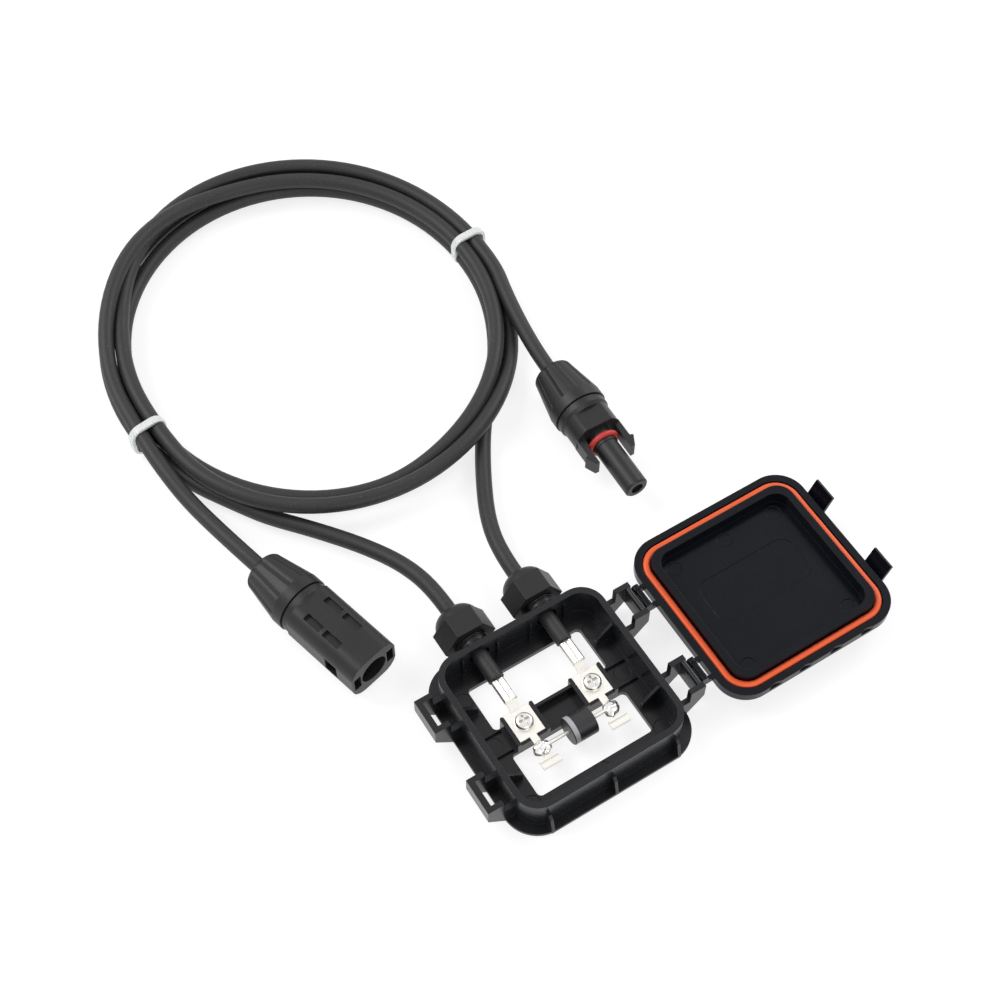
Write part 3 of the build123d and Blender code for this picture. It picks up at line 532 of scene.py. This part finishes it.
class Paintbox:
    """Builds each finish once and puts it on CAD nodes and new pieces."""

    def __init__(self) -> None:
        """Build all the materials."""
        self.made = {f: f.value.build() for f in Finish}

    def dress_nodes(self, frame: dict) -> None:
        """Give each CAD node the finish of its record slot.

        Args:
            frame: the loaded frame, with its record and its nodes.
        """
        for part in frame["record"]["subparts"]:
            node = frame["nodes"][part["node"]]
            node.data.materials.clear()
            node.data.materials.append(self.made[Finish[part["material_slot"]]])

    def dress(self, piece: bpy.types.Object, finish: Finish, body: str) -> None:
        """Put a finish on a new piece and let it ride on a body.

        Args:
            piece: the new object.
            finish: what it is made of.
            body: the CAD body that carries it.
        """
        piece.data.materials.clear()
        piece.data.materials.append(self.made[finish])
        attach(piece, body)
        LOG.info("piece %s on %s", piece.name, body)


def put(name: str, data: bpy.types.ID) -> bpy.types.Object:
    """Make an object and link it to the scene.

    Args:
        name: the object's name.
        data: its mesh, curve, lamp or camera.
    Returns:
        The object.
    """
    made = bpy.data.objects.new(name, data)
    bpy.context.scene.collection.objects.link(made)
    return made


def settled(piece: bpy.types.Object) -> bpy.types.Mesh:
    """A new plain mesh of an object as its modifiers or its curve make it."""
    graph = bpy.context.evaluated_depsgraph_get()
    return bpy.data.meshes.new_from_object(piece.evaluated_get(graph), depsgraph=graph)


class Pattern:
    """A geometry node tree with named inputs, used once and baked to a mesh."""

    def __init__(self, name: str) -> None:
        """Start a tree with a geometry input and output.

        Args:
            name: the tree's name.
        """
        self.tree = bpy.data.node_groups.new(name, "GeometryNodeTree")
        for way in ("INPUT", "OUTPUT"):
            self.tree.interface.new_socket("Geometry", in_out=way, socket_type="NodeSocketGeometry")
        self.entry = self.tree.nodes.new("NodeGroupInput")
        self.exit = self.tree.nodes.new("NodeGroupOutput")
        self.sizes: dict[str, float] = {}

    def size(self, name: str, value: float, whole: bool = False) -> bpy.types.NodeSocket:
        """Add a named input.

        Args:
            name: the input's name.
            value: its value for this use.
            whole: true for a count.
        Returns:
            The socket inside the tree.
        """
        kind = "NodeSocketInt" if whole else "NodeSocketFloat"
        made = self.tree.interface.new_socket(name, in_out="INPUT", socket_type=kind)
        self.sizes[made.identifier] = value
        return self.entry.outputs[name]

    def add(self, kind: str, settings: dict[str, object], links: dict[str, object]) -> bpy.types.Node:
        """Add a node.

        Args:
            kind: the node's type.
            settings: its properties.
            links: a socket or a plain value for each named input.
        Returns:
            The node.
        """
        made = self.tree.nodes.new(kind)
        for key, value in settings.items():
            setattr(made, key, value)
        for key, value in links.items():
            socket = made.inputs[key]
            if isinstance(value, bpy.types.NodeSocket):
                self.tree.links.new(value, socket)
            else:
                socket.default_value = value
        return made

    def copies(self, points: bpy.types.NodeSocket, shape: bpy.types.NodeSocket,
               turn: bpy.types.NodeSocket | None = None) -> bpy.types.NodeSocket:
        """Put a copy of a shape on each point.

        Args:
            points: where the copies go.
            shape: what is copied.
            turn: how each copy is turned, left out to keep them straight.
        Returns:
            The copies.
        """
        links = {"Points": points, "Instance": shape}
        if turn is not None:
            links["Rotation"] = turn
        return self.add("GeometryNodeInstanceOnPoints", {}, links).outputs[0]

    def bake(self, name: str, last: bpy.types.NodeSocket, material: bpy.types.Material,
             source: bpy.types.Mesh, place: Matrix) -> bpy.types.Object:
        """Realize the tree on a source mesh and keep the result as a plain piece.

        Args:
            name: the new piece's name.
            last: the geometry to keep.
            material: what the piece is made of.
            source: the mesh that the tree starts from.
            place: where the result goes, in the part's own frame.
        Returns:
            The new piece, which stands at the origin with its place in its mesh.
        """
        whole = self.add("GeometryNodeRealizeInstances", {}, {"Geometry": last})
        painted = self.add("GeometryNodeSetMaterial", {}, {
            "Geometry": whole.outputs[0], "Material": material})
        self.tree.links.new(painted.outputs[0], self.exit.inputs[0])
        holder = put(name + "_source", source)
        modifier = holder.modifiers.new("pattern", "NODES")
        modifier.node_group = self.tree
        for identifier, value in self.sizes.items():
            modifier[identifier] = value
        mesh = settled(holder)
        bpy.data.objects.remove(holder)
        mesh.transform(place)
        mesh.name = name
        return put(name, mesh)


def smooth(piece: bpy.types.Object, angle: float = 40.0) -> bpy.types.Object:
    """Shade a mesh smooth except across its sharp edges.

    Args:
        piece: the object, changed in place.
        angle: the turn from which an edge counts as sharp, in degrees.
    Returns:
        The same object.
    """
    piece.data.shade_smooth()
    piece.data.set_sharp_from_angle(angle=math.radians(angle))
    return piece


def points_mesh(name: str, points: list[Point]) -> bpy.types.Mesh:
    """A mesh of loose points.

    Args:
        name: the mesh's name.
        points: their places, in metres.
    Returns:
        The mesh.
    """
    mesh = bpy.data.meshes.new(name)
    mesh.from_pydata(points, [], [])
    return mesh


@dataclass
class Glands:
    """The screw threads that show on the two bosses, between the wall and the nut."""

    axis_x: float = GLAND_X * MM
    axis_z: float = 7.7 * MM
    start_y: float = 28.25 * MM
    radius: float = 5.2 * MM
    ridge: float = 0.24 * MM
    pitch: float = 0.95 * MM
    turns: int = 3
    ring_steps: int = 48
    ridge_steps: int = 8
    smooth_angle: float = 70.0

    def build(self, paint: Paintbox) -> None:
        """Make the threads of both bosses.

        Args:
            paint: the finishes.
        """
        for name, side in SIDES:
            pattern = Pattern(f"boss thread {name}")
            ring = pattern.add("GeometryNodeCurvePrimitiveCircle", {}, {
                "Radius": pattern.size("Radius", self.radius), "Resolution": self.ring_steps})
            wire = pattern.add("GeometryNodeCurvePrimitiveCircle", {}, {
                "Radius": pattern.size("Ridge", self.ridge), "Resolution": self.ridge_steps})
            thread = pattern.add("GeometryNodeCurveToMesh", {}, {
                "Curve": ring.outputs["Curve"], "Profile Curve": wire.outputs["Curve"]})
            step = pattern.add("ShaderNodeCombineXYZ", {}, {"Z": pattern.size("Pitch", self.pitch)})
            row = pattern.add("GeometryNodeMeshLine", {}, {
                "Count": pattern.size("Turns", self.turns, True), "Offset": step.outputs[0]})
            rings = pattern.copies(row.outputs["Mesh"], thread.outputs["Mesh"])
            place = Matrix.Translation((side * self.axis_x, self.start_y, self.axis_z))
            place = place @ Matrix.Rotation(math.radians(-90), 4, "X")
            piece = pattern.bake(f"gland_thread_{name}", rings, paint.made[Finish.tray_plastic],
                                 points_mesh("seed", [(0, 0, 0)]), place)
            paint.dress(smooth(piece, self.smooth_angle), Finish.tray_plastic, "box")


@dataclass
class Strands:
    """The bare strands of each lead, from the jacket's end into the crimp barrel."""

    axis_x: float = GLAND_X * MM
    axis_z: float = 7.3 * MM
    start_y: float = 16.1 * MM
    end_y: float = 8.6 * MM
    bundle: float = 0.85 * MM
    wire: float = 0.16 * MM
    wire_sides: int = 8
    spread: float = 2.05

    def layout(self) -> list[Point]:
        """Find the places of the strands in a hexagonal stack that fills the bundle.

        Returns:
            The middle of each strand, flat in X and Y.
        """
        pitch = self.spread * self.wire
        reach = int(self.bundle / pitch) + 1
        spots = []
        for row in range(-reach, reach + 1):
            for column in range(-reach, reach + 1):
                x = (column + 0.5 * (row % 2)) * pitch
                y = row * pitch * math.sin(math.radians(60))
                if math.hypot(x, y) + self.wire <= self.bundle:
                    spots.append((x, y, 0.0))
        return spots

    def build(self, paint: Paintbox) -> None:
        """Make both bundles, in place of the plain conductors.

        Args:
            paint: the finishes.
        """
        for name, side in SIDES:
            pattern = Pattern(f"strands {name}")
            wire = pattern.add("GeometryNodeMeshCylinder", {}, {
                "Vertices": self.wire_sides, "Radius": pattern.size("Wire", self.wire),
                "Depth": pattern.size("Length", self.start_y - self.end_y)})
            wires = pattern.copies(pattern.entry.outputs["Geometry"], wire.outputs["Mesh"])
            middle = (self.start_y + self.end_y) / 2
            place = Matrix.Translation((side * self.axis_x, middle, self.axis_z))
            place = place @ Matrix.Rotation(math.radians(90), 4, "X")
            piece = pattern.bake(f"strands_{name}", wires, paint.made[Finish.copper_strand],
                                 points_mesh("stack", self.layout()), place)
            paint.dress(smooth(piece), Finish.copper_strand, "box")
            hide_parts(f"conductor_{name}")


@dataclass
class SlotPlates:
    """Thin plates of the tray's plastic under its four narrow slots, so that the slots show dark and not
    the bright floor below. Sizes in millimetres.
    """

    middle_x: float = 22.1
    rows: tuple[float, float] = (3.2, -3.9)
    plate: Point = (8.0, 1.7, 0.8)
    lift: float = 0.05

    def build(self, paint: Paintbox) -> None:
        """Make all four as one piece.

        Args:
            paint: the finishes.
        """
        # The plates close the slots from below, so they read dark against the bright floor under the box.
        pattern = Pattern("slot plates")
        length, width, thickness = self.plate
        size = pattern.add("ShaderNodeCombineXYZ", {}, {
            "X": pattern.size("Length", length * MM), "Y": pattern.size("Width", width * MM),
            "Z": pattern.size("Thickness", thickness * MM)})
        plate = pattern.add("GeometryNodeMeshCube", {}, {"Size": size.outputs[0]})
        plates = pattern.copies(pattern.entry.outputs["Geometry"], plate.outputs["Mesh"])
        height = self.lift + thickness / 2
        spots = [(side * self.middle_x * MM, y * MM, height * MM) for _, side in SIDES for y in self.rows]
        piece = pattern.bake("slot_floors", plates, paint.made[Finish.tray_plastic],
                             points_mesh("slots", spots), Matrix.Identity(4))
        paint.dress(piece, Finish.tray_plastic, "box")


@dataclass
class SolderLumps:
    """The uneven mounds of solder round the diode's wires. Sizes in millimetres."""

    pad: Point = (GLAND_X, -9.0, 5.6)
    reach: Point = (2.7, 2.3, 1.7)
    uneven: float = 0.28
    cells: float = 1.7
    sink: float = -0.06
    levels: int = 5
    smooth_angle: float = 60.0

    def build(self, paint: Paintbox) -> None:
        """Make both mounds, in place of the plain ones.

        Args:
            paint: the finishes.
        """
        for name, side in SIDES:
            shape = bmesh.new()
            bmesh.ops.create_icosphere(shape, subdivisions=self.levels, radius=1.0)
            pad = Vector((side * self.pad[0], self.pad[1], self.pad[2]))
            for vertex in shape.verts:
                spot = vertex.co.copy()
                swell = 1.0 + self.uneven * noise.noise(spot * self.cells + pad)
                out = Vector((spot.x * self.reach[0], spot.y * self.reach[1],
                              max(spot.z, self.sink) * self.reach[2])) * swell
                vertex.co = (pad + out) * MM
            mesh = bpy.data.meshes.new(f"solder_lump_{name}")
            shape.to_mesh(mesh)
            shape.free()
            piece = put(f"solder_lump_{name}", mesh)
            paint.dress(smooth(piece, self.smooth_angle), Finish.solder, "box")
            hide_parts(f"solder_{name}")


@dataclass
class Lane:
    """Where one lead runs in the coil's section: angle, way out from the middle line, and height."""

    knots: list[tuple[float, float, float]]

    def at(self, angle: float) -> tuple[float, float]:
        """The offset and height at an angle, eased between the knots on each side.

        Args:
            angle: degrees round the coil, in the lane's own running count.
        Returns:
            The offset outwards and the height, in millimetres.
        """
        for (a0, r0, z0), (a1, r1, z1) in zip(self.knots, self.knots[1:]):
            if min(a0, a1) <= angle <= max(a0, a1):
                share = (angle - a0) / (a1 - a0)
                ease = share * share * (3 - 2 * share)
                return r0 + (r1 - r0) * ease, z0 + (z1 - z0) * ease
        return self.knots[-1][1:]


@dataclass
class Lead:
    """One lead from its gland, round the coil and out to its connector. Sizes in millimetres."""

    name: str
    start: list[Point]
    lane: Lane
    end: list[Point]
    stands_for: tuple[str, ...]
    far_end: str
    carries: tuple[str, ...]
    thick: float = 5.2
    step: float = 20.0
    sway: float = 0.45
    sway_rate: float = 2.3
    sway_start: float = 40.0
    round_steps: int = 5
    length_steps: int = 6

    def turns(self) -> list[Point]:
        """Work out the points of the coiled stretch from the lane.

        Returns:
            The points, with a slight sway so that the turns don't look drawn.
        """
        first, last = self.lane.knots[0][0], self.lane.knots[-1][0]
        count = max(2, round(abs(last - first) / self.step))
        points = []
        for i in range(count + 1):
            angle = first + (last - first) * i / count
            out, height = self.lane.at(angle)
            wave = math.sin(math.radians(self.sway_rate * angle + self.sway_start))
            sway = self.sway * wave if 0 < i < count else 0.0
            rx, ry = COIL_RADIUS_X + out + sway, COIL_RADIUS_Y + out + sway
            c, s = math.cos(math.radians(angle)), math.sin(math.radians(angle))
            points.append((COIL_MIDDLE[0] + rx * c, COIL_MIDDLE[1] + ry * s, height))
        return points

    def build(self, paint: Paintbox, frame: dict) -> None:
        """Args:
            paint: the finishes.
            frame: not used.
        """
        route = self.start + self.turns() + self.end
        curve = bpy.data.curves.new(self.name, "CURVE")
        curve.dimensions = "3D"
        curve.bevel_depth = self.thick / 2 * MM
        curve.bevel_resolution = self.round_steps
        curve.resolution_u = self.length_steps
        curve.use_fill_caps = True
        spline = curve.splines.new("NURBS")
        spline.points.add(len(route) - 1)
        for point, place in zip(spline.points, route):
            point.co = (*(c * MM for c in place), 1.0)
        spline.order_u = 3
        spline.use_endpoint_u = True
        spline.use_smooth = True
        piece = put(self.name, curve)
        paint.dress(piece, Finish.cable_jacket, "box")
        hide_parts(*self.stands_for)
        length = curve_length(piece)
        LOG.info("%s is %.0f mm long", self.name, length / MM)


def curve_length(piece: bpy.types.Object) -> float:
    """Measure a curve object's line.

    Args:
        piece: the curve object.
    Returns:
        The length of its line, in metres.
    """
    flat = piece.data.copy()
    flat.bevel_depth = 0
    holder = put("line", flat)
    places = [v.co for v in settled(holder).vertices]
    bpy.data.objects.remove(holder)
    return sum((b - a).length for a, b in zip(places, places[1:]))


# Heights of the coil's layers, in millimetres: on the floor, on another turn, and over a crossing.
LOW = 3.7
HIGH = 8.9
OVER = 14.1

RIGHT_LEAD = Lead(
    "lead_right",
    [(12.0, 42.2, 7.7), (12.0, 52.0, 7.7), (15.4, 65.2, 6.2), (23.2, 80.4, 4.2), (31.4, 94.0, LOW)],
    Lane([(-56, -2.0, LOW), (-30, -2.7, LOW), (20, -2.7, LOW), (90, -3.2, LOW), (180, -2.7, LOW),
          (262, -2.7, LOW), (296, -2.7, HIGH), (362, -2.7, HIGH), (440, -3.0, HIGH), (487, 0.2, OVER),
          (530, 2.7, HIGH), (548, 2.7, HIGH)]),
    [(-62.9, 135.4, 8.8), (-61.2, 120.6, 7.4), (-58.3, 105.6, 8.4), (-54.6, 89.3, 9.4),
     (-51.3, 76.4, 9.4)],
    ("cable_right_run", "socket_lead", "cable_coil"), "connector",
    ("socket_nut", "socket_body", "socket_seal", "socket_contact"))

LEFT_LEAD = Lead(
    "lead_left",
    [(-12.0, 42.2, 7.7), (-12.0, 51.8, 7.7), (-14.9, 65.0, 6.3), (-21.6, 78.4, 4.3), (-31.6, 92.0, LOW),
     (-41.6, 103.6, LOW)],
    Lane([(222, 2.7, LOW), (180, 2.7, LOW), (90, 3.2, LOW), (0, 2.7, LOW), (-36, 2.7, LOW),
          (-62, 2.7, HIGH + 0.3), (-128, 2.7, HIGH), (-142, 2.4, HIGH), (-172, -2.7, HIGH),
          (-205, -2.7, HIGH), (-262, 3.0, HIGH), (-340, 2.7, HIGH), (-368, 2.7, HIGH)]),
    [(66.6, 136.0, 9.2), (63.6, 119.4, 9.0), (61.9, 104.4, 9.4), (61.6, 91.4, 9.4)],
    ("cable_left_run", "plug_lead"), "plug",
    ("plug_nut", "plug_body", "plug_seal", "plug_o_ring", "plug_contact"))


@dataclass
class Ties:
    """The ribs that run along the straps of the two cable ties. Sizes in millimetres."""

    height: float = 6.15
    half_wide: float = 6.3
    half_high: float = 6.15
    corner: float = 4.0
    corner_steps: int = 8
    turns: dict[str, float] = field(default_factory=lambda: {"right": 2.6, "left": 187.6})
    rib: Point = (0.26, 2.0, 0.5)
    spacing: float = 1.1

    def loop(self) -> bpy.types.Mesh:
        """Draw the strap's outline as a ring of edges, flat in X and Y.

        Returns:
            The outline.
        """
        w, h, c = self.half_wide - self.corner, self.half_high - self.corner, self.corner
        spots = []
        for quarter, (x, y) in enumerate(((w, h), (-w, h), (-w, -h), (w, -h))):
            for i in range(self.corner_steps + 1):
                angle = math.radians(90 * quarter + 90 * i / self.corner_steps)
                spots.append(((x + c * math.cos(angle)) * MM, (y + c * math.sin(angle)) * MM, 0.0))
        mesh = bpy.data.meshes.new("strap line")
        mesh.from_pydata(spots, [(i, (i + 1) % len(spots)) for i in range(len(spots))], [])
        return mesh

    def place(self, turn: float) -> Matrix:
        """Find where a strap goes, square to the coil's middle line.

        Args:
            turn: the angle round the coil, in degrees.
        Returns:
            The strap's place and turn, in metres.
        """
        c, s = math.cos(math.radians(turn)), math.sin(math.radians(turn))
        out = Vector((COIL_RADIUS_Y * c, COIL_RADIUS_X * s, 0)).normalized()
        up = Vector((0, 0, 1))
        along = out.cross(up)
        frame = Matrix((out, up, along)).transposed().to_4x4()
        x, y = COIL_MIDDLE[0] + COIL_RADIUS_X * c, COIL_MIDDLE[1] + COIL_RADIUS_Y * s
        return Matrix.Translation(Vector((x, y, self.height)) * MM) @ frame

    def build(self, paint: Paintbox) -> None:
        """Make the ribs of both straps.

        Args:
            paint: the finishes.
        """
        for name, turn in self.turns.items():
            pattern = Pattern(f"tie ribs {name}")
            line = pattern.add("GeometryNodeMeshToCurve", {}, {"Mesh": pattern.entry.outputs["Geometry"]})
            steps = pattern.add("GeometryNodeCurveToPoints", {"mode": "LENGTH"}, {
                "Curve": line.outputs[0], "Length": pattern.size("Spacing", self.spacing * MM)})
            size = pattern.add("ShaderNodeCombineXYZ", {}, {
                axis: span * MM for axis, span in zip("XYZ", self.rib)})
            rib = pattern.add("GeometryNodeMeshCube", {}, {"Size": size.outputs[0]})
            ribs = pattern.copies(steps.outputs["Points"], rib.outputs["Mesh"], steps.outputs["Rotation"])
            piece = pattern.bake(f"tie_ribs_{name}", ribs, paint.made[Finish.tie_plastic],
                                 self.loop(), self.place(turn))
            paint.dress(piece, Finish.tie_plastic, "box")


@dataclass
class Studio:
    """The white floor, the lamps and the camera at the photograph's angle."""

    azimuth: float = 32.07
    elevation: float = 58.33
    distance: float = 0.575
    target: Point = (0.02459, 0.07251, 0.0)
    lens: float = 64.69
    nearest: float = 0.01
    floor_half: float = 3.0
    floor_drop: float = 0.0001
    floor_grey: float = 0.36
    floor_rough: float = 0.9
    floor_glow: float = 0.76
    world_light: float = 0.5
    world_look: float = 1.0
    lamps: tuple[tuple[str, Point, float, float], ...] = (
        ("back left softbox", (-0.55, 0.75, 0.95), 0.7, 7.0),
        ("right softbox", (0.95, 0.25, 0.75), 0.5, 4.0),
        ("front strip", (-0.1, -0.9, 0.5), 0.4, 2.0))

    def floor(self) -> None:
        """Lay a wide white floor that keeps a faint shadow."""
        mesh = bpy.data.meshes.new("floor")
        half, grey = self.floor_half, self.floor_grey
        corners = [(-half, -half, 0), (half, -half, 0), (half, half, 0), (-half, half, 0)]
        mesh.from_pydata(corners, [], [(0, 1, 2, 3)])
        floor = put("floor", mesh)
        floor.location.z = -self.floor_drop
        r = Recipe("white floor")
        r.set(Base_Color=(grey, grey, grey, 1.0), Roughness=self.floor_rough, Specular_IOR_Level=0.0,
              Emission_Color=WHITE, Emission_Strength=self.floor_glow)
        floor.data.materials.append(r.material)

    def world(self) -> None:
        """Set a white surround, dimmer as a light than it looks."""
        world = bpy.data.worlds.new("studio")
        bpy.context.scene.world = world
        world.use_nodes = True
        tree = world.node_tree
        background = tree.nodes["Background"]
        background.inputs["Color"].default_value = WHITE
        path = tree.nodes.new("ShaderNodeLightPath")
        seen = tree.nodes.new("ShaderNodeMath")
        seen.operation = "ADD"
        seen.use_clamp = True
        tree.links.new(path.outputs["Is Camera Ray"], seen.inputs[0])
        tree.links.new(path.outputs["Is Glossy Ray"], seen.inputs[1])
        strength = tree.nodes.new("ShaderNodeMapRange")
        tree.links.new(seen.outputs[0], strength.inputs["Value"])
        strength.inputs["To Min"].default_value = self.world_light
        strength.inputs["To Max"].default_value = self.world_look
        tree.links.new(strength.outputs[0], background.inputs["Strength"])

    def lamp(self, name: str, place: Point, size: float, power: float) -> None:
        """Hang a square softbox that faces the object.

        Args:
            name: the lamp's name.
            place: where it hangs, in metres.
            size: its side, in metres.
            power: its power, in watts.
        """
        light = bpy.data.lights.new(name, "AREA")
        light.size = size
        light.energy = power
        lamp = put(name, light)
        lamp.location = place
        aim = Vector(self.target) - Vector(place)
        lamp.rotation_euler = aim.to_track_quat("-Z", "Y").to_euler()

    def camera(self) -> None:
        """Set the camera at the photograph's distance and angle."""
        a, e = math.radians(self.azimuth), math.radians(self.elevation)
        look = Vector((math.sin(a) * math.cos(e), math.cos(a) * math.cos(e), -math.sin(e)))
        data = bpy.data.cameras.new("camera")
        data.lens = self.lens
        data.clip_start = self.nearest
        camera = put("camera", data)
        camera.location = Vector(self.target) - look * self.distance
        camera.rotation_euler = look.to_track_quat("-Z", "Y").to_euler()
        bpy.context.scene.camera = camera

    def build(self) -> None:
        """Set up the whole studio."""
        self.camera()
        self.world()
        self.floor()
        for name, place, size, power in self.lamps:
            self.lamp(name, place, size, power)
        bpy.context.scene.view_settings.view_transform = "Standard"


def main() -> None:
    """Build the scene, piece by piece."""
    logging.basicConfig(level=logging.INFO, format="%(message)s")
    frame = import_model()
    Studio().build()
    paint = Paintbox()
    paint.dress_nodes(frame)
    RIGHT_LEAD.build(paint, frame)
    LEFT_LEAD.build(paint, frame)
    Glands().build(paint)
    Strands().build(paint)
    SlotPlates().build(paint)
    SolderLumps().build(paint)
    Ties().build(paint)


if __name__ == "__main__":
    main()
